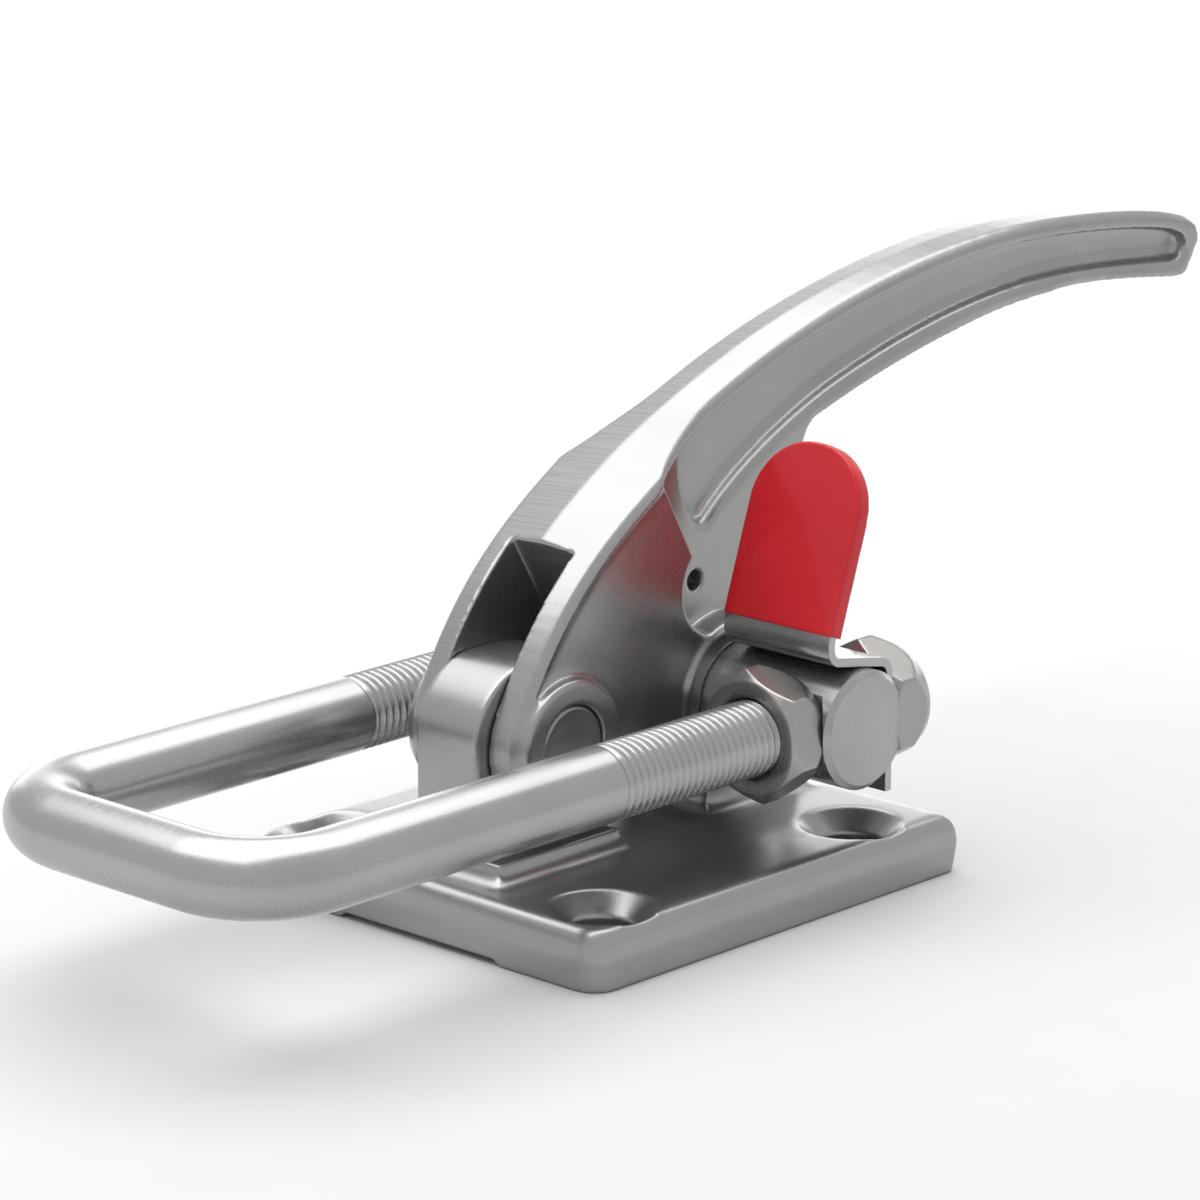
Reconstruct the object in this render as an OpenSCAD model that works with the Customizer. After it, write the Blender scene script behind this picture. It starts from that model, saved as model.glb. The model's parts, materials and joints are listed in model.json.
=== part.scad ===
// Over centre toggle latch: a forged base, a forged handle that turns on a pin in the
// base's lug, and a threaded U-bolt carried by a cross rod in the handle.
// +X runs from the bail towards the tip of the handle, +Z is up, and the origin is the
// centre of the four mounting holes, on the underside of the base.

/* [Base] */
// Width of the base across the latch
base_w = 101; // [98:0.5:110]
// Distance between mounting holes, the same along and across
hole_pitch = 76.2; // [72:0.1:80]
// Front edge of the base, measured from the centre of the holes
base_front = 52.9; // [50:0.1:60]
// Rear edge of the base, measured from the centre of the holes
base_rear = 60.1; // [56:0.1:64]
// Thickness of the base plate
plate_t = 12.9; // [10:0.1:14]
// Radius of the plate's upright corners in front
plate_corner_r = 6.5; // [4:0.5:9]
// Radius of the plate's upright corners at the rear
rear_corner_r = 3; // [2:0.5:9]
// Radius along the plate's top edges
plate_edge_r = 3; // [1:0.5:4]
// Radius along the plate's rear top edge
rear_edge_r = 5; // [3:0.5:6]
// Draft of the forged sides, from the parting line to top or bottom
plate_draft = 0.6; // [0.2:0.1:1]
// Diameter of the mounting holes
hole_d = 13; // [11:0.1:14]
// Diameter of the countersinks
sink_d = 22.8; // [20:0.1:24]
// Depth of the countersinks
sink_depth = 4.3; // [3:0.1:5]
// Depth of the relief channel under the plate
relief_depth = 1.2; // [0.5:0.1:2]
// Width of the relief channel under the plate
relief_w = 43; // [30:1:50]

/* [Lug] */
// Thickness of the upright lug
lug_t = 17; // [15:0.5:17]
// Half the length of the lug, at the height of the pivot
lug_half = 19.8; // [18:0.1:20.2]
// Height of the lug's top above the pivot
lug_top = 17; // [15:0.1:19]
// Height of the lug's pedestal above the plate
pedestal_h = 4.6; // [3:0.1:5.5]
// Width of the pedestal's flat top
pedestal_w = 30; // [26:0.5:31]
// Rear edge of the pedestal's flat top
pedestal_rear = -8; // [-10:0.5:-6]
// Radius of the fillets at the foot of pedestal and stop
foot_r = 4; // [3:0.5:5]

/* [Pivot and cross rod] */
// Pivot pin, distance in front of the centre of the holes
pivot_x = -24; // [-25:0.1:-23]
// Pivot pin, height above the underside
pivot_z = 38.6; // [38.6:0.1:40]
// Diameter of the pivot pin
pin_d = 17.5; // [14:0.1:18]
// Cross rod, distance behind the centre of the holes
rod_x = 28.5; // [28:0.1:29.5]
// Cross rod and U-bolt, height above the underside
rod_z = 37.5; // [37:0.1:38.4]
// Diameter of the cross rod
rod_d = 25.4; // [24:0.1:26]
// Length of the cross rod
rod_len = 101; // [100:0.5:104]
// Distance of the rod's rear flats from its axis
flat_depth = 9.6; // [8.8:0.1:10.5]
// Distance of the front nuts' seats from the rod's axis
seat_depth = 9.4; // [8.8:0.1:10]

/* [U-bolt and nuts] */
// Diameter of the U-bolt's bar
bar_d = 16; // [15:0.1:16.2]
// Distance between the legs' axes
leg_pitch = 72.2; // [71:0.1:74]
// Bend radius of the bar's axis
bend_r = 18; // [14:0.5:24]
// Axis of the bail, measured from the centre of the holes
bail_x = -129.3; // [-150:0.1:-115]
// Rear ends of the legs
leg_end = 54; // [52:0.5:70]
// Where the thread starts on the legs
thread_start = -37; // [-45:0.5:-30]
// Pitch of the thread
thread_pitch = 2; // [1.5:0.25:2.5]
// Depth of the thread
thread_depth = 1.08; // [0.8:0.01:1.3]
// Nuts, width across flats
nut_af = 25; // [24:0.1:25.2]
// Front nuts, length along the leg
nut_len = 11.5; // [10.5:0.1:12]
// Rear nuts, length along the leg
rear_nut_len = 12.3; // [11:0.1:13]
// Nuts, length of the full hexagon before the tapered end
nut_hex_len = 5.8; // [5:0.1:6.5]
// Nuts, diameter of the tapered end
nut_taper_d = 23; // [22:0.1:24]

/* [Handle] */
// Width of the fork across the rims of its cheeks
fork_w = 30.8; // [30:0.1:31.4]
// Depth of the cheeks' sunk sides below their rims
sunk_side = 1.1; // [0.5:0.1:1.5]
// Gap between the cheeks
fork_gap = 17.5; // [17.3:0.1:18]
// Radius of the cheeks' round ends
cheek_r = 14.4; // [13:0.1:15]
// Radius of the raised faces round the pivot pin
face_r = 14; // [12:0.1:14.4]
// Height of the raised faces round the pivot pin above the rims
face_h = 1.9; // [1:0.1:2.4]
// Radius of the boss round the cross rod
boss_r = 17.7; // [17.5:0.1:18.4]
// Width of the arm
arm_w = 16; // [14:0.5:17]
// Thickness of the web at the bottom of the arm's side pockets
arm_web_t = 9; // [6:0.5:12]
// Depth of the flange over the pockets, below the ridge
flange_h = 3.9; // [3.5:0.1:5]
// Fall of the gabled top over the fork, for each millimetre of width
gable_fall = 0.11; // [0.05:0.01:0.2]
// Fall of the gabled top at the tip, for each millimetre of width
tip_fall = 0.02; // [0:0.01:0.1]
// Width of the break along the top's outer edges
rim_break = 1.5; // [0.8:0.1:2]
// Radius of the arm's tip
tip_r = 7.1; // [5.5:0.1:7.5]
// Diameter of the small hole in the web
web_hole_d = 4.5; // [3:0.1:6]

/* [Control lever] */
// Thickness of the lever's sheet
sheet_t = 1.9; // [1.5:0.1:2.2]
// Width of the lever
lever_w = 29; // [27:0.5:31]
// Near edge of the lever, from the middle of the latch
lever_edge = 47.4; // [47:0.1:48.4]
// Lean of the paddle from upright, in degrees
paddle_lean = 19; // [10:1:24]
// Length of the paddle above its last bend
paddle_len = 37.6; // [30:0.1:44]
// Thickness of the vinyl on the paddle
cap_t = 1; // [0.6:0.1:1.2]

/* [Hidden] */
$fn = 96;
steel = [0.72, 0.72, 0.71];
dark_steel = [0.62, 0.62, 0.61];
vinyl_red = [0.74, 0.12, 0.14];

// Running clearance on radius, for turning and sliding fits
fit = 0.05;
// How far a cutter passes a face
past = 1;
leg_y = leg_pitch / 2;
base_len = base_front + base_rear;
base_mid = (base_rear - base_front) / 2;
parting_z = plate_t / 2;
flat_x = rod_x + flat_depth;
seat_x = rod_x - seat_depth;
seat_r = 13.2;
rear_nut_x = flat_x + sheet_t;

// Points on a cubic curve from p0 to p3, without its last point
function curve(p0, p1, p2, p3, n = 14) = [
    for (i = [0 : n - 1])
        let (t = i / n, s = 1 - t)
            s * s * s * p0 + 3 * s * s * t * p1 + 3 * s * t * t * p2 + t * t * t * p3
];

// A step of length d in the direction of angle a
function step(a, d) = d * [cos(a), sin(a)];

// A curve between two points that leaves and arrives at given angles and strengths
function sweep_curve(p, pa, pd, q, qa, qd, n = 14) =
    curve(p, p + step(pa, pd), q - step(qa, qd), q, n);

// Points on an arc round c, both ends included
function arc(c, r, a0, a1, n = 16) = [
    for (i = [0 : n]) c + step(a0 + (a1 - a0) * i / n, r)
];

function turned(d) = [-d[1], d[0]] / norm(d);

// Left hand normal of a path at point i
function normal(path, i) =
    turned(path[min(i + 1, len(path) - 1)] - path[max(i - 1, 0)]);

// The path moved to its left by d
function offset_path(path, d) = [
    for (i = [0 : len(path) - 1]) path[i] + d * normal(path, i)
];

function reversed(list) = [for (i = [len(list) - 1 : -1 : 0]) list[i]];

// A path through corners that are rounded to radius r
function rounded_path(corners, r, n = 8) = concat(
    [corners[0]],
    [
        for (i = [1 : len(corners) - 2])
            let (
                u = (corners[i] - corners[i - 1]) / norm(corners[i] - corners[i - 1]),
                v = (corners[i + 1] - corners[i]) / norm(corners[i + 1] - corners[i]),
                turn = acos(u * v),
                side = sign(u[0] * v[1] - u[1] * v[0]),
                a = corners[i] - u * r * tan(turn / 2),
                c = a + side * r * [-u[1], u[0]]
            )
                for (k = [0 : n])
                    let (w = side * turn * k / n)
                        c + [
                            cos(w) * (a - c)[0] - sin(w) * (a - c)[1],
                            sin(w) * (a - c)[0] + cos(w) * (a - c)[1]
                        ]
    ],
    [corners[len(corners) - 1]]
);

// Extrudes a side view, drawn in X and Z, by width w about the plane at y
module side_plate(w, y = 0) {
    translate([0, y, 0])
        rotate([90, 0, 0])
            linear_extrude(w, center = true)
                children();
}

// A round bar across the latch, centred on the plane at y
module cross_bar(x, z, r, length, y = 0) {
    translate([x, y, z])
        rotate([90, 0, 0])
            cylinder(r = r, h = length, center = true);
}

// A round bar along the latch, from x to x + length
module long_bar(x, y, z, r, length) {
    translate([x, y, z])
        rotate([0, 90, 0])
            cylinder(r = r, h = length);
}

// Forged plate with drafted sides, a parting line and rounded top edges
module plate_body() {
    bow = 90 / 4;
    levels = [
        [0, plate_draft, plate_draft + 0.5],
        [parting_z, 0, 0],
        [plate_t - rear_edge_r, plate_draft * 0.3, plate_draft * 0.3],
        for (a = [bow : bow : 90])
            [
                plate_t - rear_edge_r * (1 - sin(a)),
                plate_draft * 0.4 + plate_edge_r * (1 - cos(a)),
                plate_draft * 0.3 + rear_edge_r * (1 - cos(a))
            ]
    ];
    hull()
        for (level = levels, sx = [-1, 1], sy = [-1, 1])
            let (
                side = level[1],
                end = sx < 0 ? level[1] : level[2],
                r = max((sx < 0 ? plate_corner_r : rear_corner_r) - side, 0.6)
            )
                translate([
                    (sx < 0 ? -base_front : base_rear) - sx * (end + r),
                    sy * (base_w / 2 - side - r),
                    level[0] - (level[0] > 0 ? 0.01 : 0)
                ])
                    cylinder(r = r, h = 0.01, $fn = 32);
}

// A block on the plate whose four sides run out in hollow fillets
module footed_block(x0, x1, w, h, r) {
    top = plate_t + h;
    foot = min(r, h);
    difference() {
        translate([x0 - foot, -w / 2 - foot, plate_t - past])
            cube([x1 - x0 + 2 * foot, w + 2 * foot, h + past]);
        for (s = [-1, 1])
            long_bar(x0 - 2 * foot, s * (w / 2 + foot), plate_t + foot, foot,
                     x1 - x0 + 4 * foot);
        for (x = [x0 - foot, x1 + foot])
            cross_bar(x, plate_t + foot, foot, w + 4 * foot);
        for (s = [-1, 1])
            translate([x0 - 2 * foot, s > 0 ? w / 2 : -w / 2 - 2 * foot, plate_t + foot])
                cube([x1 - x0 + 4 * foot, 2 * foot, top]);
        for (x = [x0 - 2 * foot, x1])
            translate([x, -w / 2 - 2 * foot, plate_t + foot])
                cube([2 * foot, w + 4 * foot, top]);
    }
}

// Upright lug with a straight front and a flat arched head
lug_shoulder = 8.6;
module lug() {
    half = concat(
        [[lug_half, plate_t - past - pivot_z]],
        sweep_curve([lug_half, 3], 90, 5, [lug_shoulder + 2.5, lug_top - 1.7], 153, 5, 10),
        sweep_curve([lug_shoulder + 2.5, lug_top - 1.7], 153, 4, [0, lug_top], 180, 4, 8)
    );
    side_plate(lug_t)
        translate([pivot_x, pivot_z])
            polygon(concat(
                half,
                [[0, lug_top]],
                reversed([for (p = half) [-p[0], p[1]]])
            ));
}

// Block behind the lug, with a saddle that the handle's boss comes to rest in
stop_front = 21;
stop_rear = 50;
stop_w = 26;
stop_h = 9;
saddle_gap = 0.15;
module stop_block() {
    difference() {
        footed_block(stop_front, stop_rear, stop_w, stop_h, foot_r);
        cross_bar(rod_x, rod_z, boss_r + saddle_gap, stop_w + 6 * foot_r);
    }
}

module mounting_holes() {
    for (sx = [-1, 1], sy = [-1, 1])
        translate([sx * hole_pitch / 2, sy * hole_pitch / 2, 0]) {
            translate([0, 0, -past])
                cylinder(d = hole_d, h = plate_t + 2 * past);
            translate([0, 0, plate_t - sink_depth])
                cylinder(d1 = hole_d, d2 = sink_d, h = sink_depth);
            translate([0, 0, plate_t])
                cylinder(d = sink_d, h = past);
        }
}

// Channel between the two side pads under the plate
module relief_channel() {
    translate([base_mid, 0, 0])
        rotate([90, 0, 90])
            linear_extrude(base_len + 2 * past, center = true)
                polygon([
                    [-relief_w / 2 - relief_depth, -past],
                    [-relief_w / 2 - relief_depth, 0],
                    [-relief_w / 2, relief_depth],
                    [relief_w / 2, relief_depth],
                    [relief_w / 2 + relief_depth, 0],
                    [relief_w / 2 + relief_depth, -past]
                ]);
}

module base() {
    color(steel)
        difference() {
            union() {
                plate_body();
                footed_block(pivot_x - lug_half, pedestal_rear, pedestal_w, pedestal_h, foot_r);
                lug();
                stop_block();
            }
            mounting_holes();
            relief_channel();
            cross_bar(pivot_x, pivot_z, pin_d / 2, lug_t + 2 * past);
        }
}

// Plain pin pressed into the lug, its chamfered ends just below the raised faces
pin_end_gap = 0.4;
pin_chamfer = 0.8;
module pivot_pin() {
    half = fork_w / 2 + face_h - pin_end_gap;
    color(dark_steel)
        translate([pivot_x, 0, pivot_z])
            rotate([90, 0, 0])
                union() {
                    cylinder(d = pin_d, h = 2 * (half - pin_chamfer), center = true);
                    for (s = [0, 1])
                        mirror([0, 0, s])
                            translate([0, 0, half - pin_chamfer])
                                cylinder(d1 = pin_d, d2 = pin_d - 2 * pin_chamfer,
                                         h = pin_chamfer);
                }
}

// The handle's ridge, from the front of the cheeks over the fork to the tip
rim_rise = gable_fall * (fork_w / 2 - rim_break) + rim_break;
rim_foot = [pivot_x, pivot_z] + step(150, cheek_r + rim_rise);
function fall(x) =
    gable_fall + (tip_fall - gable_fall) * min(max((x - 55) / 110, 0), 1);
fork_back = [3.8, 90.8];
arm_root = [38.8, 106.8];
arm_crown = [130, 123.6];
arm_top_end = [188.8, 117.6];
function ridge() = concat(
    sweep_curve(rim_foot, 63, 26, fork_back, 31, 20, 18),
    sweep_curve(fork_back, 31, 12, arm_root, 21, 12, 8),
    sweep_curve(arm_root, 21, 28, arm_crown, 0, 29, 16),
    sweep_curve(arm_crown, 0, 14.5, arm_top_end, -17, 14, 12),
    [arm_top_end]
);

// Underside of the arm and the rear edge of the web, down to the boss
web_top = [56.4, 87.1];
arm_heel = [61.5, 92.1];
arm_hollow = [143.6, 107];
tip_centre = [186.8, 110.7];
function underside() = concat(
    [tip_centre + step(-95, tip_r)],
    sweep_curve([183, 103.9], 172.5, 14, arm_hollow, 181, 14, 8),
    sweep_curve(arm_hollow, 181, 26, arm_heel, 198, 27, 14),
    sweep_curve(arm_heel, 198, 3.4, web_top, 246, 3.4, 6),
    sweep_curve(web_top, 250, 8, [rod_x, rod_z] + step(12, boss_r - 0.3), 262, 20, 10)
);

// Lower edge of the handle between the boss and the cheeks' round ends
function belly() = sweep_curve(
    [rod_x, rod_z] + step(215, boss_r - 0.3), 145, 9,
    [pivot_x, pivot_z] + step(-62, cheek_r - 0.2), 212, 9, 10
);

// Centre of the small hole and of the hollow round it
web_hole = [22.3, 63];
hollow_r = 10.3;

// Side view of everything between the two faces of the arm
module core_view() {
    polygon(concat(
        ridge(),
        underside(),
        [[rod_x, rod_z]],
        belly(),
        [[pivot_x, pivot_z]]
    ));
    translate(tip_centre)
        circle(r = tip_r);
    translate([rod_x, rod_z])
        circle(r = boss_r);
    translate([pivot_x, pivot_z])
        circle(r = cheek_r);
}

// Side view of the raised cheeks, which end in a hollow round the small hole
module cheek_view() {
    intersection() {
        core_view();
        difference() {
            polygon([
                [pivot_x - 30, 0], [rod_x, 0], [rod_x, rod_z], [rod_x - 4, rod_z + boss_r],
                [14.3, 72], fork_back + [1.6, -2.5], fork_back + [-2, 30],
                [pivot_x - 30, 120]
            ]);
            translate(web_hole)
                circle(r = hollow_r);
        }
    }
}

// Near edge of the top flange in plan, which narrows from the fork to the arm
flange_edge = concat(
    [[-70, fork_w / 2]],
    sweep_curve([fork_back[0], fork_w / 2], -33, 3, [10.3, 12.2], -19, 3, 5),
    sweep_curve([10.3, 12.2], -19, 6, [27, 8.5], -3, 6, 8),
    [[75, arm_w / 2], [220, arm_w / 2]]
);
module flange_plan() {
    polygon(concat(flange_edge, reversed([for (p = flange_edge) [p[0], -p[1]]])));
}

// Side view of the flange, a band of even depth under the ridge
module flange_view() {
    top = ridge();
    polygon(concat(top, reversed(offset_path(top, -flange_h))));
}

// A solid under a gabled roof with broken edges, whose ridge follows the handle's back
roof_reach = 16.5;
roof_hub = [20, 0];
module roof() {
    spine = ridge();
    back = concat(
        [spine[0] - step(63, 40)],
        spine,
        [spine[len(spine) - 1] + step(-17, 20)]
    );
    n = len(back);
    hub = 5 * n;
    polyhedron(
        points = concat(
            [
                for (side = [-2 : 2], i = [0 : n - 1])
                    let (
                        rim = lookup(back[i][0], flange_edge) - rim_break,
                        past_rim = abs(side) == 2 ? roof_reach - rim : 0,
                        drop = side == 0 ? 0 : fall(back[i][0]) * rim + past_rim,
                        p = back[i] - drop * normal(back, i)
                    )
                        [p[0], sign(side) * (side == 0 ? 0 : rim + past_rim), p[1]]
            ],
            [for (side = [-2 : 2]) [roof_hub[0], side * roof_reach / 2, roof_hub[1]]]
        ),
        faces = concat(
            [
                for (r = [0 : 3], i = [r * n : r * n + n - 2])
                    each [[i, i + n, i + n + 1], [i, i + n + 1, i + 1]]
            ],
            [for (i = [0 : n - 2]) [i, i + 1, hub]],
            [for (i = [4 * n : 5 * n - 2]) [i + 1, i, hub + 4]],
            [for (r = [0 : 3]) [r * n, hub + r, hub + r + 1, r * n + n]],
            [
                for (r = [0 : 3])
                    [r * n + n - 1, r * n + 2 * n - 1, hub + r + 1, hub + r]
            ]
        )
    );
}

// Boss round the cross rod, its rims rounded
boss_rim = 1.6;
module rod_boss() {
    translate([rod_x, 0, rod_z])
        rotate([90, 0, 0])
            rotate_extrude()
                union() {
                    translate([0, -fork_w / 2])
                        square([boss_r - boss_rim, fork_w]);
                    translate([0, -fork_w / 2 + boss_rim])
                        square([boss_r, fork_w - 2 * boss_rim]);
                    for (s = [-1, 1])
                        translate([boss_r - boss_rim, s * (fork_w / 2 - boss_rim)])
                            circle(r = boss_rim, $fn = 32);
                }
}

// Raised round face on the outside of each cheek
module pivot_faces() {
    for (s = [0, 1])
        mirror([0, s, 0])
            translate([pivot_x, sunk_side - fork_w / 2, pivot_z])
                rotate([90, 0, 0]) {
                    cylinder(r = face_r, h = sunk_side + face_h - 0.6);
                    translate([0, 0, sunk_side + face_h - 0.6])
                        cylinder(r1 = face_r, r2 = face_r - 0.6, h = 0.6);
                }
}

// Space between the cheeks for the lug
slot_mouth = [-15.6, 76.6];
slot_rear = -2.6;
module fork_slot() {
    slot_angle = -59.5;
    depth = (slot_rear - slot_mouth[0]) / cos(slot_angle);
    side_plate(fork_gap)
        polygon([
            [-70, 0], [slot_rear, 0], slot_mouth + step(slot_angle, depth),
            slot_mouth + step(slot_angle + 180, 12), [-70, 110]
        ]);
}

// Pockets along both sides of the arm, between the flange and the lower edge
pocket_toe = [25.2, 74.8];
pocket_floor = [69.1, 98.6];
pocket_low = [136.9, 110.3];
module arm_pockets() {
    top = [
        for (p = offset_path(ridge(), -flange_h))
            if (p[0] > 18 && p[0] < 185) p
    ];
    low = concat(
        sweep_curve([17.4, 88], -88, 6, pocket_toe, 0, 4, 8),
        sweep_curve(pocket_toe, 46, 13, pocket_floor, 17, 16, 12),
        sweep_curve(pocket_floor, 17, 23, pocket_low, 1, 22, 10),
        sweep_curve(pocket_low, 1, 16, [184.4, 107.5], -6, 14, 8),
        arc([186.4, 110.5], 3.1, -80, 70, 10)
    );
    for (s = [-1, 1])
        side_plate(20, s * (arm_web_t / 2 + 10))
            polygon(concat(top, reversed(low)));
}

module handle() {
    color(steel)
        difference() {
            union() {
                intersection() {
                    roof();
                    union() {
                        side_plate(arm_w)
                            core_view();
                        side_plate(fork_w - 2 * sunk_side)
                            cheek_view();
                        intersection() {
                            side_plate(fork_w)
                                flange_view();
                            linear_extrude(160)
                                flange_plan();
                        }
                    }
                }
                rod_boss();
                pivot_faces();
            }
            fork_slot();
            arm_pockets();
            cross_bar(pivot_x, pivot_z, pin_d / 2 + fit, fork_w + 4 * face_h);
            cross_bar(rod_x, rod_z, rod_d / 2 + fit, fork_w + 4 * face_h);
            cross_bar(web_hole[0], web_hole[1], web_hole_d / 2, fork_w + 4 * face_h);
        }
}

// Cross rod with rear flats, seats for the front nuts and a hole for each leg
rod_chamfer = 1.2;
module trunnion() {
    flat_y = fork_w / 2 + 0.8;
    color(steel)
        difference() {
            translate([rod_x, 0, rod_z])
                rotate([90, 0, 0])
                    union() {
                        cylinder(d = rod_d, h = rod_len - 2 * rod_chamfer, center = true);
                        for (s = [0, 1])
                            mirror([0, 0, s])
                                translate([0, 0, rod_len / 2 - rod_chamfer])
                                    cylinder(d1 = rod_d, d2 = rod_d - 2 * rod_chamfer,
                                             h = rod_chamfer);
                    }
            for (s = [0, 1])
                mirror([0, s, 0]) {
                    translate([flat_x, flat_y, rod_z - rod_d])
                        cube([rod_d, rod_len, 2 * rod_d]);
                    long_bar(seat_x - rod_d, leg_y, rod_z, seat_r, rod_d);
                    long_bar(0, leg_y, rod_z, bar_d / 2 + fit, rod_x * 2);
                }
        }
}

// One turn of thread: where its marks lie along the pitch, and how deep each is
thread_marks = [[0, 0], [0.375, 1], [0.625, 1]];
thread_sides = 14;
thread_ease = 0.02;

// Depth of the thread at x, which runs out over one pitch at its front end
function thread_cut(x) = thread_depth * min(max((x - thread_start) / thread_pitch, 0), 1);

// The mark m of the thread, k sides along the helix that starts at x
function thread_point(x, k, m) =
    let (
        at = x + (k / thread_sides + m[0]) * thread_pitch,
        r = bar_d / 2 - thread_ease - m[1] * thread_cut(at),
        a = 360 * k / thread_sides
    )
        [at, r * cos(a), r * sin(a)];

// Right hand thread along +X about the X axis, one body of flat faces from crest to crest
module thread() {
    x0 = thread_pitch * floor(thread_start / thread_pitch);
    turns = floor((leg_end - x0) / thread_pitch) - 1;
    last = turns * thread_sides;
    n = len(thread_marks);
    front = (last + 1) * n;
    rear = front + 1;
    polyhedron(
        points = concat(
            [for (k = [0 : last], m = thread_marks) thread_point(x0, k, m)],
            [[x0, 0, 0], [x0 + turns * thread_pitch, 0, 0]]
        ),
        faces = concat(
            [
                for (k = [0 : last - 1], i = [k * n : k * n + n - 2])
                    each [[i, i + 1, i + 1 + n], [i, i + 1 + n, i + n]]
            ],
            [
                for (k = [0 : last - thread_sides - 1])
                    let (i = k * n + n - 1, next = (k + thread_sides) * n)
                        each [[i, next, next + n], [i, next + n, i + n]]
            ],
            [for (k = [0 : thread_sides - 1]) [k * n, k * n + n, front]],
            [for (i = [0 : n - 2]) [i + 1, i, front]],
            [[thread_sides * n, n - 1, front]],
            [
                for (k = [last - thread_sides : last - 1])
                    [(k + 1) * n + n - 1, k * n + n - 1, rear]
            ],
            [for (i = [last * n : last * n + n - 2]) [i, i + 1, rear]],
            [[(last - thread_sides) * n + n - 1, last * n, rear]]
        )
    );
}

// Bent bar: two threaded legs, two bends and the bail
nose_chamfer = 0.4;
module u_bolt() {
    nose_r = bar_d / 2 - thread_depth + 0.1;
    nose_x = leg_end - 1.75 * thread_pitch;
    color(steel)
        union() {
            for (s = [-1, 1]) {
                translate([0, s * leg_y, rod_z])
                    thread();
                long_bar(nose_x, s * leg_y, rod_z, nose_r, leg_end - nose_chamfer - nose_x);
                translate([leg_end - nose_chamfer, s * leg_y, rod_z])
                    rotate([0, 90, 0])
                        cylinder(r1 = nose_r, r2 = nose_r - nose_chamfer, h = nose_chamfer);
            }
            for (s = [0, 1])
                mirror([0, s, 0]) {
                    long_bar(bail_x + bend_r, leg_y, rod_z, bar_d / 2,
                             thread_start - bail_x - bend_r);
                    translate([bail_x + bend_r, leg_y - bend_r, rod_z])
                        rotate([0, 0, 90])
                            rotate_extrude(angle = 90)
                                translate([bend_r, 0])
                                    circle(d = bar_d);
                }
            cross_bar(bail_x, rod_z, bar_d / 2, leg_pitch - 2 * bend_r);
        }
}

// Hexagon nut with a chamfered front and a long tapered rear end
front_chamfer = 0.8;
module nut(x, y, turn, length = nut_len) {
    corner_r = nut_af / 2 / cos(30);
    translate([x, y, rod_z])
        rotate([turn, 0, 0])
            rotate([0, 90, 0])
                difference() {
                    intersection() {
                        cylinder(r = corner_r, h = length, $fn = 6);
                        union() {
                            cylinder(r1 = nut_af / 2, r2 = corner_r, h = front_chamfer);
                            translate([0, 0, front_chamfer])
                                cylinder(r = corner_r, h = nut_hex_len - front_chamfer);
                            translate([0, 0, nut_hex_len])
                                cylinder(r1 = corner_r, d2 = nut_taper_d,
                                         h = length - nut_hex_len);
                        }
                    }
                    translate([0, 0, -past])
                        cylinder(r = bar_d / 2 + fit, h = length + 2 * past);
                }
}

front_turn = -11;
module front_nut_near() {
    color(steel)
        nut(seat_x - nut_len, -leg_y, front_turn);
}

module front_nut_far() {
    color(steel)
        nut(seat_x - nut_len, leg_y, front_turn + 17);
}

module rear_nut_near() {
    color(steel)
        nut(rear_nut_x, -leg_y, 0, rear_nut_len);
}

module rear_nut_far() {
    color(steel)
        nut(flat_x, leg_y, 8, rear_nut_len);
}

// Bent sheet lever: foot behind the rod, shelf over it and a leaning paddle
foot_z = 21.6;
shelf_rear = [flat_x + sheet_t / 2, 49.5];
shelf_front = [20.6, 53];
paddle_root = [20.6, 57.2];
lever_bend_r = 3;
lever_mid = -(lever_edge - lever_w / 2);
paddle_corner_r = 13.2;
paddle_inset = 0.4;
paddle_w = lever_w - 1.4;

// Outline of the paddle, grown by g on its free edges, drawn upwards from its root
module paddle_outline(g) {
    r = paddle_corner_r + g;
    w = paddle_w / 2 + g;
    h = paddle_len + g;
    translate([-w, 0])
        square([2 * w, h - r]);
    translate([-w + r, 0])
        square([2 * (w - r), h]);
    for (s = [-1, 1])
        translate([s * (w - r), h - r])
            circle(r = r);
}

// Places a plate drawn upwards on the paddle's plane, thick t about the sheet's middle
module on_paddle(t) {
    translate([paddle_root[0], paddle_w / 2 + paddle_inset - lever_edge, paddle_root[1]])
        rotate([0, paddle_lean, 0])
            rotate([90, 0, 90])
                linear_extrude(t, center = true)
                    children();
}

module control_lever() {
    middle = rounded_path(
        [
            [shelf_rear[0], foot_z], shelf_rear, shelf_front, paddle_root,
            paddle_root + step(90 - paddle_lean, 3)
        ],
        lever_bend_r
    );
    color(dark_steel)
        difference() {
            union() {
                side_plate(lever_w, lever_mid)
                    polygon(concat(
                        offset_path(middle, sheet_t / 2),
                        reversed(offset_path(middle, -sheet_t / 2))
                    ));
                on_paddle(sheet_t)
                    translate([0, 1])
                        paddle_outline(0);
            }
            long_bar(flat_x - past, -leg_y, rod_z, bar_d / 2 + 0.3, sheet_t + 2 * past);
        }
}

// Dipped cap, a skin of even thickness on both faces and round the edge
cap_start = 0;
module lever_cap() {
    color(vinyl_red)
        difference() {
            on_paddle(sheet_t + 2 * cap_t)
                translate([0, 1])
                    intersection() {
                        paddle_outline(cap_t);
                        translate([-lever_w, cap_start])
                            square([2 * lever_w, 2 * paddle_len]);
                    }
            on_paddle(sheet_t)
                translate([0, 1])
                    paddle_outline(0);
            control_lever();
        }
}

base();
pivot_pin();
handle();
trunnion();
u_bolt();
front_nut_near();
front_nut_far();
rear_nut_near();
rear_nut_far();
control_lever();
lever_cap();
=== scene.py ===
"""Visual model of an over centre toggle latch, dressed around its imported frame."""
import json
import logging
import math
from dataclasses import dataclass, replace
from enum import Enum
from typing import Callable

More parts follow.
